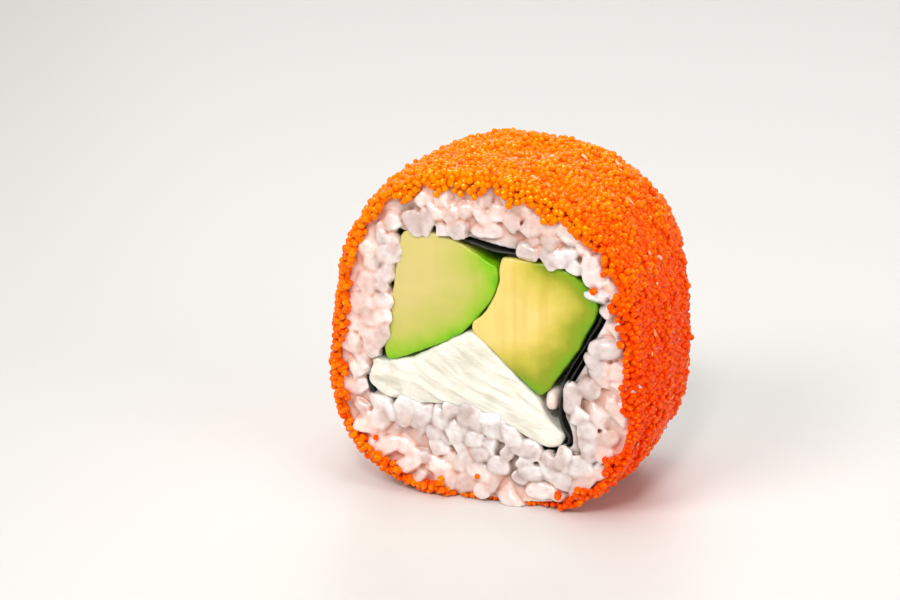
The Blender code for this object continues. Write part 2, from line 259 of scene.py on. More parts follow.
# Avocado flesh: wet, fatty and waxy, so light soaks in a little and the gloss is broad. It turns from pale yellow at
# the stone's side to lime green just under the skin.

avocado = dict(recess=0.45 * mm, dome=0.3 * mm, rounding=0.35 * mm, roundFrom=0.95, roundOver=0.05, waver=0.12 * mm,
               points=170, faceRows=26, sideRows=6, greenDepth=7.5 * mm, swell=0.16 * mm, lowerGreen=0.7,
               roughness=0.34, soak=0.25, soakDepth=1.2 * mm, fibre=0.35 * mm, blotch=4.0 * mm, string=1.8 * mm,
               lean=math.radians(-12))
leftFlesh = ((0.0, "70b600"), (0.06, "84c000"), (0.2, "a6c234"), (0.42, "c2c05a"), (0.75, "cec36c"), (1.0, "d6c678"))
rightFlesh = ((0.0, "6aa200"), (0.06, "7ca600"), (0.2, "949f10"), (0.4, "c2b83c"), (0.7, "e0ca60"), (1.0, "ecd47c"))


def avocadoMaterial(name, stops, strings):
    material, tree, shader = newMaterial(name, {
        "Roughness": avocado["roughness"], "IOR": 1.45, "Specular IOR Level": 0.35,
        "Subsurface Weight": avocado["soak"], "Subsurface Radius": (1.0, 0.8, 0.25),
        "Subsurface Scale": avocado["soakDepth"], "Coat Weight": 0.2, "Coat Roughness": 0.1,
    })
    place = addNode(tree, "TexCoord").outputs["Object"]
    skin = addNode(tree, "Attribute", {"attribute_name": "fromSkin"}).outputs["Fac"]
    blotch = addNode(tree, "TexNoise", {"Scale": 1 / avocado["blotch"], "Detail": 3.0}, {"Vector": place})
    shifted = addNode(tree, "MapRange", {"From Min": 0.3, "From Max": 0.7, "To Min": -0.1, "To Max": 0.1},
                      {"Value": blotch})
    factor = addNode(tree, "Math", {"operation": "ADD", "use_clamp": True}, {0: skin, 1: shifted})
    flesh = addNode(tree, "ValToRGB", {"stops": stops}, {"Fac": factor})
    # faint brown strings run through the flesh from the stalk, drawn coarser than real ones so that they show
    drawn = addNode(tree, "Mapping", {"Rotation": (0, avocado["lean"], 0), "Scale": (1, 1, 0.07)}, {"Vector": place})
    string = addNode(tree, "TexNoise", {"Scale": 1 / avocado["string"], "Detail": 2.0}, {"Vector": drawn})
    faint = addNode(tree, "ValToRGB", {"stops": ((0.3, strings), (0.5, "ffffff"), (1.0, "ffffff"))}, {"Fac": string})
    colour = addNode(tree, "MixRGB", {"blend_type": "MULTIPLY", "Fac": 1.0}, {"Color1": flesh, "Color2": faint})
    fibre = addNode(tree, "TexNoise", {"Scale": 1 / avocado["fibre"], "Detail": 4.0}, {"Vector": place})
    bump = addNode(tree, "Bump", {"Strength": 0.5, "Distance": 0.08 * mm}, {"Height": fibre})
    wire(tree, shader, {"Base Color": colour, "Normal": bump})
    return material


def distanceToLine(points, line):
    # the shortest distance from each point to a line of joined stretches
    start, step = line[:-1], np.diff(line, axis=0)
    away = points[:, None] - start[None]
    along = np.clip((away * step).sum(-1) / (step * step).sum(-1), 0, 1)
    return np.linalg.norm(away - along[..., None] * step, axis=-1).min(axis=1)


def makeAvocado(name, material, seed, skinLine):
    # a block on the solid's own outline, swollen a little and wavering; fromSkin is how far a corner is from the skin
    outline = curveThrough(edgeOfCut(name), avocado["points"], True)

    def depthAt(x, z, spread, side):
        # the knife leaves faint strokes and a slight wave
        place = np.column_stack([x, z, np.full_like(x, side)])
        knife = 0.05 * mm * lumps(place * [0.3, 1, 1], 1.2 * mm, seed) + 0.08 * mm * lumps(place, 5 * mm, seed + 1)
        return cutDepth(avocado, spread) + knife

    def edgeAt(points):
        wave = lumps(points, 1.6 * mm, seed + 2) + 0.6 * lumps(points, 0.6 * mm, seed + 3)
        return pushedOut(points, outline, avocado["waver"] * wave + avocado["swell"], 4 * mm)

    points, faces = blockThrough(outline, avocado["faceRows"], avocado["sideRows"], depthAt, edgeAt)
    line = np.array(skinLine) * mm + [0, centreHeight]
    # the green goes deeper towards the lower end
    lower = np.clip((centreHeight + 2 * mm - points[:, 2]) / (7 * mm), 0, 1)
    fromSkin = distanceToLine(points[:, [0, 2]], line) / (avocado["greenDepth"] * (1 + avocado["lowerGreen"] * lower))
    piece = makePiece(name + "Flesh", points, faces, material, {"fromSkin": np.clip(fromSkin, 0, 1)})
    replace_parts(piece, name)


# where each wedge had its skin, in mm from the roll's middle: x to the right, z up
makeAvocado("avocado_left", avocadoMaterial("avocadoFleshKhaki", leftFlesh, "fcfaf4"), 11,
            [(0.3, 12.2), (2.2, 11.0), (1.9, 8.0), (0.2, 5.1), (-2.8, 1.7), (-6.5, -0.6), (-11.0, -2.8),
             (-14.2, -3.4)])
makeAvocado("avocado_right", avocadoMaterial("avocadoFleshYellow", rightFlesh, "f9f3e6"), 23,
            [(10.0, 12.6), (13.0, 11.3), (15.2, 9.0), (15.9, 6.8), (14.8, 4.0), (12.8, 0.1), (10.5, -3.2),
             (8.1, -6.0), (6.2, -5.2)])
print("avocado wedges made")


# Cream cheese: dense, matt white and slightly see-through at thin edges, dragged into streaks by the knife.

cheese = dict(recess=0.15 * mm, dome=0.5 * mm, rounding=0.5 * mm, roundFrom=0.93, roundOver=0.07, points=240,
              faceRows=48, sideRows=6, streak=0.7 * mm, ridge=0.22 * mm, slope=math.radians(28), crumb=0.5 * mm,
              lumpEnd=-8.0 * mm)


def cheeseMaterial():
    material, tree, shader = newMaterial("creamCheese", {
        "Roughness": 0.42, "IOR": 1.4, "Coat Weight": 0.15, "Coat Roughness": 0.3,
        "Subsurface Weight": 0.6, "Subsurface Radius": (1.0, 0.95, 0.8), "Subsurface Scale": 1.0 * mm,
    })
    place = addNode(tree, "TexCoord").outputs["Object"]
    cloud = addNode(tree, "TexNoise", {"Scale": 1 / (5 * mm), "Detail": 3.0}, {"Vector": place})
    colour = addNode(tree, "ValToRGB", {"stops": ((0.3, "e6e3d2"), (0.5, "f0ece0"), (0.7, "dedac8"))}, {"Fac": cloud})
    drawn = addNode(tree, "Mapping", {"Rotation": (0, cheese["slope"], 0), "Scale": (0.25, 1, 1)}, {"Vector": place})
    streak = addNode(tree, "TexNoise", {"Scale": 1 / (0.35 * mm), "Detail": 5.0}, {"Vector": drawn})
    bump = addNode(tree, "Bump", {"Strength": 0.8, "Distance": 0.2 * mm}, {"Height": streak})
    wire(tree, shader, {"Base Color": colour, "Normal": bump})
    return material


def makeCheese():
    # a block on the solid's own outline, with the knife's streaks on its cuts and crumbs at its left end
    outline = curveThrough(edgeOfCut("cream_cheese"), cheese["points"], True)

    def brokenAt(x):
        # 1 at the end that broke into lumps
        return np.clip((cheese["lumpEnd"] - x) / (4 * mm), 0, 1)

    def depthAt(x, z, spread, side):
        # streaks run down to the right and fan out to the left, where the end breaks into lumps
        turn = cheese["slope"]
        across = z * math.cos(turn) + x * math.sin(turn) + 0.8 * mm * lumps(np.column_stack([x, z, z * 0]), 6 * mm, 5)
        along = x * math.cos(turn) - z * math.sin(turn)
        spot = np.column_stack([across, along * 0.16, np.full_like(x, side)])
        streaks = cheese["ridge"] * (lumps(spot, cheese["streak"], 6) + 0.5 * lumps(spot, cheese["streak"] / 2.3, 7))
        broken = brokenAt(x)
        rough = cheese["crumb"] * broken * lumps(np.column_stack([x, z, np.full_like(x, side)]), 1.3 * mm, 8)
        return cutDepth(cheese, spread) + streaks * (1 - 0.5 * broken) + rough

    def edgeAt(points):
        crumbs = cheese["crumb"] * brokenAt(points[:, 0]) * lumps(points, 0.9 * mm, 10)
        return pushedOut(points, outline, 0.16 * mm + 0.14 * mm * lumps(points, 1.1 * mm, 9) + crumbs, 3 * mm)

    points, faces = blockThrough(outline, cheese["faceRows"], cheese["sideRows"], depthAt, edgeAt)
    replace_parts(makePiece("creamCheeseWedge", points, faces, cheeseMaterial()), "cream_cheese")


makeCheese()
print("cream cheese made")


# Nori: a thin sheet of pressed seaweed gone limp and damp, nearly black with a green cast and a satin gloss.

nori = dict(thickness=0.32 * mm, recess=0.45 * mm, hiddenRecess=0.9 * mm, ragged=0.35 * mm, wave=0.12 * mm, rows=20)


def noriMaterial():
    material, tree, shader = newMaterial("dampNori", {
        "Roughness": 0.38, "IOR": 1.45, "Coat Weight": 0.2, "Coat Roughness": 0.25,
    })
    place = addNode(tree, "TexCoord").outputs["Object"]
    patch = addNode(tree, "TexNoise", {"Scale": 1 / (1.2 * mm), "Detail": 5.0}, {"Vector": place})
    colour = addNode(tree, "ValToRGB", {"stops": ((0.3, "0b0d08"), (0.6, "12160d"), (0.8, "1d2616"))}, {"Fac": patch})
    bump = addNode(tree, "Bump", {"Strength": 0.7, "Distance": 0.12 * mm}, {"Height": patch})
    wire(tree, shader, {"Base Color": colour, "Normal": bump})
    return material


def makeNori():
    # the path is the first parameter and the roll's axis the second; both faces lie half a thickness off the middle
    line = noriLine
    step = np.gradient(line, axis=0)
    normal = np.column_stack([step[:, 1], -step[:, 0]]) / np.linalg.norm(step, axis=1)[:, None]
    rows = nori["rows"]
    share = np.linspace(-1, 1, rows)
    turn = np.arctan2(line[:, 1], line[:, 0])
    # set farther back where rice hangs over its edge
    shown = np.maximum(bell(turn, -12, 42), bell(turn, 82, 24))
    reach = (halfLength - nori["recess"] - nori["hiddenRecess"] * (1 - shown))[:, None]
    sheets = []
    for face in (1, -1):
        flat = np.repeat(line[:, None], rows, axis=1)
        across = np.broadcast_to(share * reach, flat.shape[:2])
        spot = np.dstack([flat[..., 0], across, flat[..., 1]]).reshape(-1, 3)
        wave = (nori["wave"] * lumps(spot, 2.2 * mm, 31)).reshape(flat.shape[:2])
        torn = nori["ragged"] * (lumps(spot * [1, 0, 1], 1.3 * mm, 32) + 0.6 * lumps(spot * [1, 0, 1], 0.5 * mm, 33))
        across = across + torn.reshape(flat.shape[:2]) * share**7
        off = wave + face * nori["thickness"] / 2 * np.sqrt(1 - 0.75 * share**16)
        flat = flat + normal[:, None] * off[..., None]
        sheets.append(np.dstack([flat[..., 0], across, flat[..., 1] + centreHeight]))
    ring = np.concatenate([sheets[0], sheets[1][:, ::-1]], axis=1)  # one section of the sheet, all the way round
    points = ring.reshape(-1, 3)
    faces = gridFaces(len(line), 2 * rows).tolist()
    last = (len(line) - 1) * 2 * rows
    for k in range(rows - 1):
        other = 2 * rows - 1 - k
        faces.append([k + 1, k, other, other - 1])
        faces.append([last + k, last + k + 1, last + other - 1, last + other])
    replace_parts(makePiece("noriSheet", points, faces, noriMaterial()), "nori")


makeNori()
print("nori made")


# Rice: cooked short grains, pressed together and cut. Steam has glued the outer ones into a soft mass, tinted by the
# roe; nearer the nori they are separate, milky and half see-through.

rice = dict(length=5.2 * mm, width=3.3 * mm, around=18, along=12, faceDepth=10.85 * mm, slab=1.5 * mm,
            spacing=1.95 * mm, lipSpacing=2.3 * mm, draws=5000, endOn=0.45, flats=6, uneven=0.14 * mm,
            flatFrom=11.7 * mm, flattening=0.4, ringPoints=220, underRoe=0.3 * mm, voxel=0.17 * mm, smooth=1, kept=0.6,
            pressed=0.6, creaseDepth=0.35 * mm)


def riceMaterial():
    # starch gel: light goes in and comes out pinker, over a wet broad gloss; hollows carry painted peach shade, cut
    # grains grey
    material, tree, shader = newMaterial("stickyRice", {
        "Roughness": 0.28, "IOR": 1.4, "Coat Weight": 1.0, "Coat Roughness": 0.06,
        "Subsurface Weight": 0.6, "Subsurface Radius": (1.0, 0.7, 0.6), "Subsurface Scale": 0.6 * mm,
    })
    place = addNode(tree, "TexCoord").outputs["Object"]
    relief, grey, tint = (addNode(tree, "Attribute", {"attribute_name": name}).outputs["Fac"]
                          for name in ("relief", "grey", "tint"))
    # relief is low in hollows and high on ridges, so both ramps paint shade into the hollows and light onto the ridges
    milky, glassy = (addNode(tree, "ValToRGB", {"stops": stops}, {"Fac": relief}) for stops in (
        ((0.0, "cc8866"), (0.3, "f2bda6"), (0.55, "fde2d6"), (1.0, "fffaf6")),
        ((0.0, "8c7264"), (0.3, "c4b2a8"), (0.55, "e0d8d4"), (1.0, "fcfaf9"))))
    body = addNode(tree, "MixRGB", links={"Fac": grey, "Color1": milky, "Color2": glassy})
    # each grain's own tone, picked at random, not shade
    grainTone = addNode(tree, "ValToRGB", {"stops": ((0.0, "dccdc8"), (0.5, "f4eeee"), (1.0, "ffffff"))}, {"Fac": tint})
    toned = addNode(tree, "MixRGB", {"blend_type": "MULTIPLY", "Fac": 1.0}, {"Color1": body, "Color2": grainTone})
    # chalky white cores show through here and there
    core = addNode(tree, "TexNoise", {"Scale": 1 / (0.9 * mm), "Detail": 5.0}, {"Vector": place})
    cloudy = addNode(tree, "ValToRGB", {"stops": ((0.36, "f0eae8"), (0.5, "fbf8f7"), (0.62, "ffffff"))}, {"Fac": core})
    colour = addNode(tree, "MixRGB", {"blend_type": "MULTIPLY", "Fac": 1.0}, {"Color1": toned, "Color2": cloudy})
    grain = addNode(tree, "TexNoise", {"Scale": 1 / (0.5 * mm), "Detail": 3.0}, {"Vector": place})
    bump = addNode(tree, "Bump", {"Strength": 0.5, "Distance": 0.12 * mm}, {"Height": grain})
    wire(tree, shader, {"Base Color": colour, "Normal": bump})
    return material


def grainShape(around, along):
    # a grain: a profile that is full along its middle and blunt at its ends, turned round X, flattened and bent
    v = np.linspace(0, math.pi, along + 2)[1:-1]
    u = np.linspace(0, math.tau, around, endpoint=False)
    x = -np.cos(v)
    radius = (1 - np.abs(x) ** 3.2) ** 0.5
    squared = (np.abs(np.cos(u)) ** 2.7 + np.abs(np.sin(u)) ** 2.7) ** (-1 / 2.7)
    grid = np.stack([
        np.repeat(0.5 * x[:, None], around, axis=1),
        0.5 * radius[:, None] * squared * np.cos(u),
        0.5 * radius[:, None] * squared * np.sin(u) * 0.86 + 0.10 * (1 - x[:, None] ** 2) - 0.06,
    ], axis=-1).reshape(-1, 3)
    points = np.vstack([grid, [[-0.5, 0, -0.06], [0.5, 0, -0.06]]])
    quads = gridFaces(along, around)[:, ::-1]
    tip, last, step = len(grid), (along - 1) * around, np.arange(around)
    beside = (step + 1) % around
    ends = [np.stack([beside, np.full(around, tip), step], axis=1),
            np.stack([np.full(around, tip + 1), last + beside, last + step], axis=1)]
    return points, np.concatenate([quads[:, :3], quads[:, [0, 2, 3]], *ends])


def pressedFlat(draw, grains, count):
    # grains with flats pressed into them: each flat is a plane set in from the grain's farthest point that way
    for _ in range(count):
        way = draw.normal(size=(len(grains), 1, 3))
        way /= np.linalg.norm(way, axis=-1, keepdims=True)
        reach = (grains * way).sum(axis=-1)
        over = np.maximum(reach - reach.max(axis=1, keepdims=True) * draw.uniform(0.55, 0.9, (len(grains), 1)), 0)
        grains = grains - over[..., None] * way
    return grains


def turned(first, second, third):
    # rotation matrices about Y, then Z, then X, one for each set of angles
    def about(axis, angle):
        c, s, o, z = np.cos(angle), np.sin(angle), np.ones_like(angle), np.zeros_like(angle)
        rows = dict(x=[o, z, z, z, c, -s, z, s, c], y=[c, z, s, z, o, z, -s, z, c], z=[c, -s, z, s, c, z, z, z, o])
        return np.stack(rows[axis], axis=-1).reshape(-1, 3, 3)
    return about("y", first) @ about("z", second) @ about("x", third)


def joined(points, faces, turns, sizes, places):
    # one copy of a shape for each turn, size and place, as one mesh
    copies = np.einsum("kij,kpj->kpi", turns, points[None] * sizes[:, None]) + places[:, None]
    offset = (np.arange(len(places)) * len(points))[:, None, None]
    return copies.reshape(-1, 3), (faces[None] + offset).reshape(-1, faces.shape[1])


def spreadOut(draw, count, distance, low, high):
    # places at least a distance apart: random draws over a rectangle, kept where they clear all kept before. The
    # first direction closes on itself.
    across, cell, kept = high[0] - low[0], {}, []
    columns = int(across / distance) + 1
    for a, b in draw.uniform(low, high, (count, 2)):
        column, row = int((a - low[0]) / distance), int((b - low[1]) / distance)
        near = [other for i in (-2, -1, 0, 1, 2) for j in (-1, 0, 1)
                for other in cell.get(((column + i) % columns, row + j), ())]
        if all(((a - c + across / 2) % across - across / 2) ** 2 + (b - d) ** 2 > distance**2 for c, d in near):
            cell.setdefault((column, row), []).append((a, b))
            kept.append((a, b))
    return np.array(kept)


def grainsOnCut(draw, side):
    # where the grains of one cut lie: spread over a disc first, then only those over the rice are kept
    reach = 23 * mm
    spots = spreadOut(draw, rice["draws"], rice["spacing"], (-reach, -reach), (reach, reach))
    angle, radius = np.arctan2(spots[:, 1], spots[:, 0]), np.hypot(spots[:, 0], spots[:, 1])
    inner, outer = ringRadius(angle, False), ringRadius(angle, True)
    share = (radius - inner) / (outer - inner)
    # grains lie over the nori's edge, but stop short of it on the right and in a short stretch at the top
    fromNori = -0.06 + 0.12 * bell(angle, -12, 30) + 0.3 * bell(angle, 82, 14)
    keep = (share > fromNori) & (radius < outer - 0.7 * mm + 1.1 * mm * bell(angle, -84, 36))
    spots, angle, share = spots[keep], angle[keep], share[keep]
    # one more row leans in over the nori's edge wherever that is hidden
    turn = np.linspace(0, math.tau, 721)
    line = np.stack([ringRadius(turn, False) * np.cos(turn), ringRadius(turn, False) * np.sin(turn)], axis=1)
    run = np.concatenate([[0], np.cumsum(np.hypot(*np.diff(line, axis=0).T))])
    count = int(run[-1] / rice["lipSpacing"])
    lip = np.interp((np.arange(count) + draw.uniform(0.2, 0.8, count)) / count * run[-1], run, turn)
    lip = lip[(bell(lip, -12, 36) < 0.4) & (bell(lip, 82, 17) < 0.4)]
    lipRadius = ringRadius(lip, False) + draw.uniform(-0.5, 0.9, len(lip)) * mm
    spots = np.vstack([spots, np.stack([lipRadius * np.cos(lip), lipRadius * np.sin(lip)], axis=1)])
    angle, share = np.concatenate([angle, lip]), np.concatenate([share, np.zeros(len(lip))])
    count = len(spots)
    reachOfGrey = 0.3 + 0.6 * bell(angle, -80, 50) + 0.25 * bell(angle, -10, 40) - 0.3 * bell(angle, 180, 50)
    grey = np.clip((reachOfGrey - share) / 0.3 + draw.normal(0, 0.25, count), 0, 1)
    lift = draw.uniform(-0.5, 0.15, count) * mm + 0.35 * mm * grey
    places = np.column_stack([spots[:, 0], side * (rice["faceDepth"] + lift), spots[:, 1] + centreHeight])
    onEnd = draw.random(count) < rice["endOn"]
    lean = np.where(onEnd, draw.uniform(0.9, 1.5, count), draw.uniform(-0.35, 0.35, count))
    turns = turned(draw.uniform(0, math.tau, count), lean, draw.uniform(0, math.tau, count))
    scale = draw.uniform(0.8, 1.08, (count, 1))
    sizes = scale * np.array([[rice["length"], rice["width"], rice["width"]]])
    sizes[:, 0] *= np.where(onEnd, 0.62, 1.0)
    return places, turns, sizes, grey


def ringBetween(front, back):
    # the bare rice ring from one depth to another: its section has four corners and closes on itself
    angle = np.linspace(0, math.tau, rice["ringPoints"], endpoint=False)
    inner, outer = ringRadius(angle, False), ringRadius(angle, True) + rice["underRoe"]
    section = [(1, front), (1, back), (0, back), (0, front)]
    ring = np.stack([onRoll(angle, inner + share * (outer - inner), np.full_like(angle, y)) for share, y in section])
    return ring.reshape(-1, 3), gridFaces(len(section), len(angle), True)


def overNeighbours(values, edges, rounds):
    # each corner's values moved half way to the mean of its neighbours' values, some rounds over
    values = values.copy()
    count = np.bincount(edges.ravel(), minlength=len(values))[:, None]
    first, second = edges.T
    for _ in range(rounds):
        total = np.stack([
            np.bincount(first, column[second], len(values)) + np.bincount(second, column[first], len(values))
            for column in values.T], axis=1)
        values = 0.5 * values + 0.5 * total / count
    return values


def fuse(piece):
    # the piece's overlapping shapes made one skin on a grid of small cubes, softened, then thinned out
    remesh = piece.modifiers.new("Fuse", "REMESH")
    remesh.mode = "VOXEL"
    remesh.voxel_size = rice["voxel"]
    soften = piece.modifiers.new("Soften", "SMOOTH")
    soften.factor = 0.5
    soften.iterations = rice["smooth"]
    thin = piece.modifiers.new("Thin", "DECIMATE")
    thin.ratio = rice["kept"]
    fused = bpy.data.meshes.new_from_object(piece.evaluated_get(bpy.context.evaluated_depsgraph_get()))
    piece.modifiers.clear()
    piece.data = fused
    shadeSmooth(fused)
    return fused


def makeRiceCut(side, seed, material):
    # one cut's rice: grains over a slab of the ring, fused with it, and pressed together towards the roe
    draw = np.random.default_rng(seed)
    shape, shapeFaces = grainShape(rice["around"], rice["along"])
    places, turns, sizes, grey = grainsOnCut(draw, side)
    depths = sorted([side * (rice["faceDepth"] - rice["slab"]), side * rice["faceDepth"]])
    ring, ringFaces = ringBetween(*depths)
    grains, grainFaces = joined(shape, shapeFaces, turns, sizes, places)
    # no two grains are alike, and the knife left their tops flatter
    middles = np.repeat(places, len(shape), axis=0)
    shaped = pressedFlat(draw, (grains - middles).reshape(len(places), -1, 3), rice["flats"])
    grains = middles + shaped.reshape(-1, 3)
    out = (grains - middles) / np.linalg.norm(grains - middles, axis=1)[:, None]
    swell = rice["uneven"] * (lumps(grains, 1.5 * mm, seed) + 0.6 * lumps(grains, 0.7 * mm, seed + 1))
    grains += out * swell[:, None]
    over = np.maximum(np.abs(grains[:, 1]) - rice["flatFrom"] - 0.3 * mm * lumps(grains, 4 * mm, seed + 2), 0)
    grains[:, 1] -= side * over * (1 - rice["flattening"])
    faces = ringFaces.tolist() + (grainFaces + len(ring)).tolist()
    name = "riceFront" if side < 0 else "riceBack"
    piece = makePiece(name, np.vstack([ring, grains]), faces, material)
    fused = fuse(piece)
    points, normals = readVectors(fused.vertices, "co"), readVectors(fused.vertices, "normal")
    edges = np.empty(len(fused.edges) * 2, np.int32)
    fused.edges.foreach_get("vertices", edges)
    edges = edges.reshape(-1, 2)
    smooth = overNeighbours(points, edges, 30)
    # near the roe the rice is pressed into a soft mass with only shallow creases, but not where the roll stands
    flat = points[:, [0, 2]] - [0, centreHeight]
    angle, radius = np.arctan2(flat[:, 1], flat[:, 0]), np.hypot(flat[:, 0], flat[:, 1])
    share = (radius - ringRadius(angle, False)) / (ringRadius(angle, True) - ringRadius(angle, False))
    left = bell(angle, 165, 55)  # most on the left
    pressed = rice["pressed"] * (1 + 0.25 * left) * np.clip((share - 0.3 + 0.25 * left) / 0.45, 0, 1)
    pressed *= 1 - 0.8 * bell(angle, -85, 45)
    # relief sets the painted shade: low in hollows, high on ridges, measured against the smoothed skin
    relief = np.clip(0.6 + (1 - pressed) * ((points - smooth) * normals).sum(axis=1) / rice["creaseDepth"], 0, 1)
    points += pressed[:, None] * (smooth - points)
    points[:, 2] = np.maximum(points[:, 2], 0.03 * mm)
    fused.vertices.foreach_set("co", points.ravel())
    fused.update()
    # each corner takes the grey and the tint of the grain whose axis is nearest
    ends = places[:, None] + np.array([-0.32, 0, 0.32])[None, :, None] * (turns[:, :, 0] * sizes[:, :1])[:, None]
    nearest = np.concatenate([
        np.linalg.norm(part[:, None, None] - ends[None], axis=-1).min(axis=-1).argmin(axis=-1)
        for part in np.array_split(points, 60)])
    tints = draw.random(len(places))
    tone = overNeighbours(np.stack([grey[nearest], tints[nearest]], axis=1), edges, 5)
    keepNumbers(fused, {"relief": relief, "grey": tone[:, 0], "tint": tone[:, 1]})
    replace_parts(piece, "rice")
    print(name, len(places), "grains", len(fused.polygons), "faces")
    return points


riceLook = riceMaterial()
ricePoints = {-1: makeRiceCut(-1, 4, riceLook), 1: makeRiceCut(1, 5, riceLook)}


def makeRiceBody():
    # the part of the ring between the two cuts, which the roe and the nori hide
    inside = rice["faceDepth"] - rice["slab"] + 0.3 * mm
    points, faces = ringBetween(-inside, inside)
    values = dict(relief=np.full(len(points), 0.5), grey=np.zeros(len(points)), tint=np.ones(len(points)))
    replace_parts(makePiece("riceBody", points, faces, riceLook, values), "rice")


makeRiceBody()
print("rice made")


# Fish roe: round eggs about a millimetre across with a thin wet skin round clear orange jelly. Light collects inside,
# so each one glows and has a small sharp glint.

roe = dict(egg=0.86 * mm, eggScale=(0.84, 1.12), spacing=0.65 * mm, thickness=1.95 * mm, rim=1.0 * mm,
           pressedShare=0.25, pressedWidth=32, clumpFrom=0.0, clumpRise=0.28 * mm, proudShare=0.09, proudRise=0.42 * mm,
           draws=(90000, 16000), cutDraws=20000, heapedShare=0.5, heapedRise=0.45 * mm, farthest=12.4 * mm,
           plumper=0.14, golden=0.6, kindsFrom=(0.35, 0.58), flecks=46, sleevePoints=260, sleeveRows=44)


def ballShape():
    # a ball of 60 small faces: the 12 corners of an icosahedron and the middles of its 20 sides, all pushed out to
    # one distance. Two faces lie along each of its edges, between an end of the edge and the middles beside it.
    gold = (1 + math.sqrt(5)) / 2
    corners = np.array([np.roll((a, b * gold, 0), shift) for shift in range(3) for b in (1, -1) for a in (-1, 1)])
    sides = np.array([(0, 11, 5), (0, 5, 1), (0, 1, 7), (0, 7, 10), (0, 10, 11), (1, 5, 9), (5, 11, 4), (11, 10, 2),
                      (10, 7, 6), (7, 1, 8), (3, 9, 4), (3, 4, 2), (3, 2, 6), (3, 6, 8), (3, 8, 9), (4, 9, 5),
                      (2, 4, 11), (6, 2, 10), (8, 6, 7), (9, 8, 1)])
    points = np.vstack([corners, corners[sides].mean(axis=1)])
    owner = {(side[k], side[(k + 1) % 3]): 12 + index for index, side in enumerate(sides.tolist()) for k in range(3)}
    faces = np.array([(a, owner[b, a], left) for (a, b), left in owner.items()])
    return points / np.linalg.norm(points, axis=1)[:, None] * 0.5, faces


def roeMaterial(name, colours, roughness):
    # the gloss is golden, and each corner's tone says where along the colours it lies; on the eggs tone 1 is a painted
    # glint
    material, tree, shader = newMaterial(name, {
        "Roughness": roughness, "IOR": 1.36, "Specular IOR Level": 1.0, "Specular Tint": linear("ffc430"),
        "Subsurface Weight": 0.5, "Subsurface Radius": (1.0, 0.35, 0.05), "Subsurface Scale": 0.2 * mm,
    })
    tone = addNode(tree, "Attribute", {"attribute_name": "tone"}).outputs["Fac"]
    wire(tree, shader, {"Base Color": addNode(tree, "ValToRGB", {"stops": colours}, {"Fac": tone})})
    return material


def coatThickness(angle, along):
    # thickest half way through the roll, thinner at both rims and squeezed where the roll stands
    full = roe["thickness"] - (roe["thickness"] - roe["rim"]) * along**4
    return full * (1 - roe["pressedShare"] * bell(angle, -90, roe["pressedWidth"]))


def patches(angle):
    # where roe still reaches the cut near the bottom; between these the rice comes out to the rim
    return bell(angle, -127, 6) + bell(angle, -107, 4) + bell(angle, -53, 8) + bell(angle, -37, 6)


def bareRim(angle):
    # how far the coat may stop short of a cut: most where the roll stands, and some on the left
    return 0.4 * mm + 1.7 * mm * bell(angle, -92, 36) * (1 - patches(angle)) + 0.3 * mm * bell(angle, 180, 50)


def clumpAt(spot):
    # the coat's unevenness, about -1.5 to 1.5: broad clumps with small ones on them
    return lumps(spot, 3.4 * mm, 51) + 0.5 * lumps(spot, 1.5 * mm, 52)


def riceUnder(side, x, z):
    # how far out a cut's rice stands at each spot: its farthest corner in that square of a grid or the ones beside it
    points, square, half = ricePoints[side], 0.5 * mm, 55
    heights = np.zeros((2 * half, 2 * half))
    place = np.floor((points[:, [0, 2]] - [0, centreHeight]) / square).astype(int) + half
    np.maximum.at(heights, (place[:, 0], place[:, 1]), np.abs(points[:, 1]))
    across, up = (np.floor(value / square).astype(int) + half for value in (x, z - centreHeight))
    return np.max([heights[across + i, up + j] for i in (-1, 0, 1) for j in (-1, 0, 1)], axis=0)


def eggsOnCoat(draw):
    # eggs all over the coat's side, in one close layer, and more on top of it where the roe lies in clumps
    turn = np.linspace(0, math.tau, 1441)
    outline = onRoll(turn, ringRadius(turn, True) + 1.2 * mm, 0 * turn)[:, [0, 2]]
    length = np.concatenate([[0], np.cumsum(np.hypot(*np.diff(outline, axis=0).T))])
    half = halfLength - 0.45 * mm
    places, clumps = [], []
    for layer, (draws, spacing) in enumerate(zip(roe["draws"], (roe["spacing"], roe["spacing"] * 1.1))):
        spots = spreadOut(draw, draws, spacing, (0, -half), (length[-1], half))
        angle, y = np.interp(spots[:, 0], length, turn), spots[:, 1]
        spot = onBarrel(angle, y)
        clump = clumpAt(spot)
        keep = np.abs(y) < half + 0.3 * mm - bareRim(angle) * (0.5 - 0.5 * lumps(spot, 2.6 * mm, 55))
        keep &= (clump > roe["clumpFrom"]) | (layer == 0)
        angle, y, clump = angle[keep], y[keep], clump[keep]
        thick = coatThickness(angle, y / halfLength)
        radius = ringRadius(angle, True) + 0.1 * mm + thick + draw.uniform(-0.12, 0.12, len(angle)) * mm
        radius += (-0.15 * mm if layer else -0.4 * mm) + roe["clumpRise"] * clump
        radius += roe["proudRise"] * (draw.random(len(angle)) < roe["proudShare"])
        places.append(onRoll(angle, radius, y))
        clumps.append(clump)
    return np.vstack(places), np.concatenate(clumps)


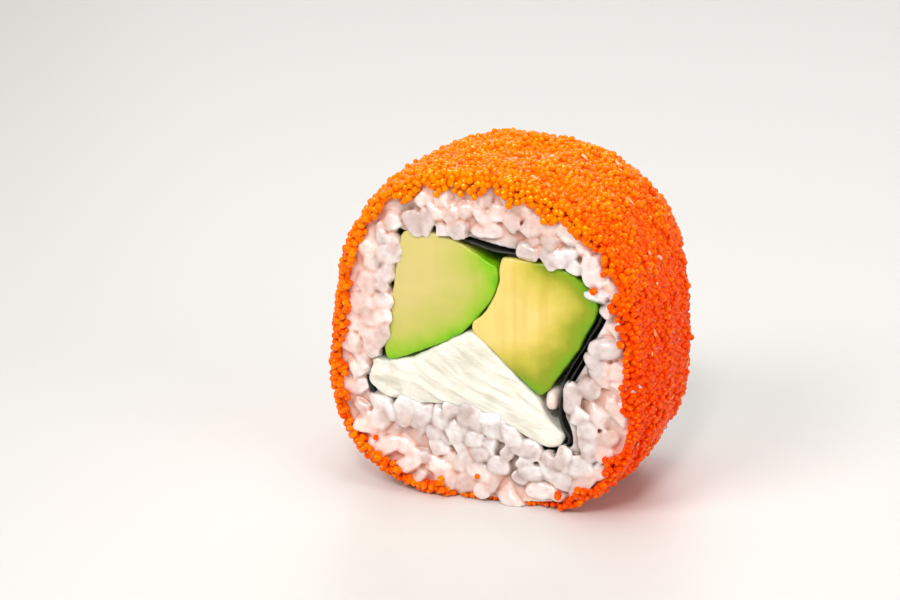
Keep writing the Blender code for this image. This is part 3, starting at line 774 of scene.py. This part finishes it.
def eggsOnCut(draw, side):
    # eggs that lie on a cut: they run in from the coat as far as drip says, most from the top to the right
    turn = np.linspace(-math.pi, math.pi, 1441)
    length = (turn + math.pi) * 22 * mm
    spots = spreadOut(draw, roe["cutDraws"], roe["spacing"] * 0.95, (0, -3.5 * mm), (length[-1], 1.2 * mm))
    angle, inward = np.interp(spots[:, 0], length, turn), spots[:, 1]
    spot = onBarrel(angle, np.full_like(angle, side * halfLength))
    ragged = lumps(spot, 2.4 * mm, 61) + 0.6 * lumps(spot, 1.1 * mm, 62)
    drip = mm * (0.3 + 1.0 * bell(angle, 80, 38) + 1.0 * bell(angle, 25, 30) + 0.4 * bell(angle, 180, 50)
                 - 2.4 * bell(angle, -88, 38) * (1 - patches(angle)) + 0.6 * patches(angle)) + 1.35 * mm * ragged
    # a few have rolled off onto the rice, most on the right
    stray = (draw.random(len(angle)) < 0.006 + 0.02 * bell(angle, 0, 40)) & (inward < -0.5 * mm)
    keep = (-inward < drip) | stray
    angle, inward, stray = angle[keep], inward[keep], stray[keep]
    depth = halfLength - 0.1 * mm - 0.75 * mm * np.clip(inward / (1.2 * mm), 0, 1) ** 2
    depth += draw.uniform(-0.15, 0.15, len(angle)) * mm
    places = onRoll(angle, ringRadius(angle, True) + inward, side * depth)
    # on the rice an egg lies on what is under it, and the mass is up to two eggs deep
    resting = riceUnder(side, places[:, 0], places[:, 2]) + 0.25 * mm
    places[:, 1] = np.where(inward < -0.2 * mm, side * np.maximum(resting, 11.2 * mm), places[:, 1])
    heaped = (draw.random(len(angle)) < roe["heapedShare"]) & (inward < 0) & ~stray
    count = heaped.sum()
    aside, up = (draw.uniform(-0.3, 0.3, count) * mm for _ in range(2))
    over = np.column_stack([aside, np.full(count, side * roe["heapedRise"]), up])
    places = np.vstack([places, places[heaped] + over])
    # the same again deeper in, so that no gap shows between the rim's eggs
    rim = places[:len(angle)][inward > -0.9 * mm]
    for deeper in (0.45 * mm, 0.9 * mm):
        places = np.vstack([places, rim - [0, side * deeper, 0] + draw.uniform(-0.25, 0.25, rim.shape) * mm])
    places[:, 1] = np.clip(places[:, 1], -roe["farthest"], roe["farthest"])
    return places, np.zeros(len(places))


def tintAndLightAt(angle):
    # partly the roe's own tint and partly painted light: yellower where the coat faces up and left towards the key
    # light, redder down its shaded right side
    return 0.46 + 0.34 * bell(angle, 98, 48) - 0.38 * bell(angle, -15, 52)


def makeRoe():
    # a ball for each egg, in three colours by the tint and painted light there, then torn skins and the jelly between
    # them
    draw = np.random.default_rng(9)
    ball, ballFaces = ballShape()
    groups = [eggsOnCoat(draw), eggsOnCut(draw, -1), eggsOnCut(draw, 1)]
    places = np.vstack([group[0] for group in groups])
    clump = np.concatenate([group[1] for group in groups])
    sizes = roe["egg"] * draw.uniform(*roe["eggScale"], len(places))
    angle = np.arctan2(places[:, 2] - centreHeight, places[:, 0])
    tintAndLight = tintAndLightAt(angle) + 0.15 * clump
    tones = 0.8 * np.clip(tintAndLight + draw.normal(0, 0.08, len(places)), 0, 1)
    # the way out from the roll for each egg, towards the nearer cut for those that lie on one, which are plumper too
    onCut = np.repeat([0, -1, 1], [len(group[0]) for group in groups])
    sizes *= 1 + roe["plumper"] * np.abs(onCut)
    places[:, 2] = np.maximum(places[:, 2], 0.53 * sizes)
    out = np.column_stack([np.cos(angle), onCut * 1.5, np.sin(angle)])
    print("eggs:", [len(group[0]) for group in groups])
    # the three kinds are partly lit and shaded copies of one roe; eggs on raised clumps are yellower too
    kinds = np.digitize(tintAndLight + draw.normal(0, 0.16, len(places)), roe["kindsFrom"])
    # each kind's colours follow tone; the pale top stops at 0.91 and 1 are the painted glints
    looks = (
        ("roeDeep", ((0.0, "f83c00"), (0.4, "ff5600"), (0.8, "ff6a00"), (0.91, "ffa828"), (1.0, "ffcc58")), 0.12),
        ("roeOrange", ((0.0, "ff5600"), (0.4, "ff6c00"), (0.8, "ff7c00"), (0.91, "ffc440"), (1.0, "ffe270")), 0.1),
        ("roeAmber", ((0.0, "ff6c00"), (0.4, "ff7e00"), (0.8, "ff8e00"), (0.91, "ffdc58"), (1.0, "fff08c")), 0.08),
    )
    for kind, (name, colours, roughness) in enumerate(looks):
        mine = kinds == kind
        turns = turned(*draw.uniform(0, math.tau, (3, mine.sum())))
        scale = sizes[mine][:, None] * draw.uniform(0.94, 1.06, (mine.sum(), 3))
        points, faces = joined(ball, ballFaces, turns, scale, places[mine])
        # in more than half of the eggs a painted golden glint shows, at the corner nearest to a way up or outward
        way = out[mine] + [0, 0, 0.8] + draw.normal(0, 0.5, (mine.sum(), 3))
        glintReach = (points.reshape(-1, len(ball), 3) - places[mine][:, None]) @ way[:, :, None]
        tone = np.repeat(tones[mine][:, None], len(ball), axis=1)
        shown = np.flatnonzero(draw.random(mine.sum()) < roe["golden"])
        tone[shown, glintReach[shown, :, 0].argmax(axis=1)] = 1
        piece = makePiece(name, points, faces, roeMaterial(name, colours, roughness), {"tone": tone.ravel()})
        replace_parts(piece, "roe_coat")
        print(name, len(faces), "faces")

    # torn skins of eggs: flat flecks laid on the coat, turned any way, and ragged
    count = roe["flecks"]
    turn, along = math.radians(1) * draw.uniform(-60, 200, count), draw.uniform(-0.92, 0.92, count)
    out = np.column_stack([np.cos(turn), 0 * turn, np.sin(turn)])
    spin = draw.uniform(0, math.tau, count)[:, None]
    first = np.cos(spin) * [0, 1, 0] + np.sin(spin) * np.cross(out, [0, 1, 0])
    turns = np.stack([first, np.cross(out, first), out], axis=-1)
    y = along * halfLength
    reach = ringRadius(turn, True) + coatThickness(turn, along)
    spots = onRoll(turn, reach + (0.12 * mm + roe["clumpRise"] * clumpAt(onBarrel(turn, y))), y)
    scale = np.column_stack([draw.uniform(0.9, 1.7, count), draw.uniform(0.4, 0.8, count), np.full(count, 0.3)]) * mm
    points, faces = joined(ball, ballFaces, turns, scale, spots)
    points += 0.14 * mm * np.column_stack([lumps(points, 0.5 * mm, seed) for seed in (56, 57, 58)])
    look = roeMaterial("roeSkin", ((0.0, "ff9048"), (0.5, "ffa870"), (1.0, "ffc8a0")), 0.15)
    tone = np.repeat(draw.random(count), len(ball))
    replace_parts(makePiece("roeSkins", points, faces, look, {"tone": tone}), "roe_coat")

    # the jelly and crushed eggs between them: a sleeve that the lowest eggs are half sunk in
    angle = np.linspace(0, math.tau, roe["sleevePoints"], endpoint=False)
    rows = [(row, 1.0) for row in np.linspace(-1, 1, roe["sleeveRows"])]
    rows += [(1.03, 0.5), (1, 0.0), (0, 0.0), (-1, 0.0), (-1.03, 0.5)]
    ring = []
    for along, lift in rows:
        y = along * (halfLength - 0.3 * mm - bareRim(angle))
        spot = onBarrel(angle, y)
        relief = roe["clumpRise"] * clumpAt(spot) + 0.08 * mm * lumps(spot, 0.6 * mm, 53)
        thick = (coatThickness(angle, along) - 0.29 * mm + relief) * lift
        place = onRoll(angle, ringRadius(angle, True) + 0.1 * mm + thick, y)
        place[:, 2] = np.maximum(place[:, 2], 0.05 * mm)
        ring.append(place)
    points = np.concatenate(ring)
    faces = gridFaces(len(ring), len(angle), True)
    under = roeMaterial("roeJelly", ((0.0, "fa4c00"), (0.5, "ff6600"), (1.0, "ff8000")), 0.2)
    angle = np.arctan2(points[:, 2] - centreHeight, points[:, 0])
    # the jelly's colour also follows the tint and painted light round the roll
    tone = np.clip(tintAndLightAt(angle) + 0.2 * lumps(points, 1.1 * mm, 54), 0, 1)
    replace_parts(makePiece("roeJellySleeve", points, faces, under, {"tone": tone}), "roe_coat")


makeRoe()
print("roe made")


# The stray grain inside the nori

def makeStrayGrain():
    # one grain, grown to the solid's box and a little over
    low, high = (np.array(corner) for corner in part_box("stray_grain"))
    shape, faces = grainShape(rice["around"], rice["along"])
    # its length lies along the roll, and its upright width across it
    shape = shape[:, [1, 0, 2]] * (high - low) * [1.35, 1, 1.15] + (low + high) / 2
    shape += 0.12 * mm * lumps(shape, 1.2 * mm, 71)[:, None] * [1, 0, 1]
    values = dict(relief=np.full(len(shape), 0.62), grey=np.full(len(shape), 0.3), tint=np.full(len(shape), 0.8))
    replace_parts(makePiece("strayGrain", shape, faces[:, ::-1], riceLook, values), "stray_grain")


makeStrayGrain()


# Studio: a pale floor that curves up far out, and square lights that aim at the roll. Each has its watts, its width in
# metres and its place; the key stands at the upper left, and the small one gives glints.

studio = dict(floor="dedbd7", flat=1.1, bend=0.6, wall=0.3, around=96, ambient=0.19, lights={
    "key": (3.05, 0.32, (-0.28, -0.52, 0.52)),
    "fill": (2.5, 0.5, (0.68, -0.3, 0.26)),
    "top": (1.9, 0.4, (0.04, 0.0, 0.72)),
    "back": (2.0, 0.6, (-0.16, 0.66, 0.42)),
    "glint": (1.7, 0.12, (0.1, -0.54, 0.58)),
})


def makeStudio():
    # the floor is a profile turned round Z: flat, then up in a quarter circle and a short wall
    flat, rise, around = studio["flat"], studio["bend"], studio["around"]
    turn = np.linspace(0, math.tau, around, endpoint=False)
    bend = np.linspace(0, math.pi / 2, 16)
    reach = np.concatenate([[0.02, 0.2], flat + rise * np.sin(bend), [flat + rise]])[:, None]
    height = np.concatenate([[0, 0], rise * (1 - np.cos(bend)), [rise + studio["wall"]]])[:, None]
    points = np.stack([reach * np.cos(turn), reach * np.sin(turn), np.repeat(height, around, 1)], axis=-1)
    faces = gridFaces(len(reach), around)[:, ::-1].tolist() + [list(range(around))]
    mesh = bpy.data.meshes.new("floor")
    mesh.from_pydata(points.reshape(-1, 3).tolist(), [], faces)
    shadeSmooth(mesh)
    mesh.materials.append(newMaterial("paleFloor", {"Base Color": linear(studio["floor"]), "Roughness": 0.45})[0])
    floor = bpy.data.objects.new("floor", mesh)
    bpy.context.scene.collection.objects.link(floor)
    for name, (watts, width, place) in studio["lights"].items():
        light = bpy.data.lights.new(name, "AREA")
        light.energy = watts
        light.size = width
        lamp = bpy.data.objects.new(name, light)
        lamp.location = place
        aim = Vector((0, 0, centreHeight)) - lamp.location
        lamp.rotation_euler = aim.to_track_quat("-Z", "Y").to_euler()
        lamp.visible_camera = False
        bpy.context.scene.collection.objects.link(lamp)
    world = bpy.data.worlds.new("studioWorld")
    world.use_nodes = True
    back = world.node_tree.nodes["Background"]
    back.inputs["Color"].default_value = (1, 1, 1, 1)
    back.inputs["Strength"].default_value = studio["ambient"]
    bpy.context.scene.world = world


makeStudio()

# The photo's view: where the camera stands round the roll, how far off, and where the roll's middle falls, in pixels
# from the picture's middle.

view = dict(azimuth=math.radians(20.38), elevation=math.radians(19.04), distance=0.3270, lens=96, right=62.64,
            down=21.73, pictureWidth=900)


def makeCamera():
    # out from the roll's middle along the photo's direction, and aimed back at it
    data = bpy.data.cameras.new("camera")
    data.sensor_width = 36
    data.lens = view["lens"]
    data.shift_x = -view["right"] / view["pictureWidth"]
    data.shift_y = view["down"] / view["pictureWidth"]
    data.clip_start, data.clip_end = 0.01, 10
    camera = bpy.data.objects.new("camera", data)
    a, e = view["azimuth"], view["elevation"]
    back = Vector((math.sin(a) * math.cos(e), -math.cos(a) * math.cos(e), math.sin(e)))
    camera.location = Vector((0, 0, centreHeight)) + back * view["distance"]
    camera.rotation_euler = (-back).to_track_quat("-Z", "Y").to_euler()
    bpy.context.scene.collection.objects.link(camera)
    bpy.context.scene.camera = camera


makeCamera()
bpy.context.scene.view_settings.view_transform = "Standard"
print("studio and camera set")
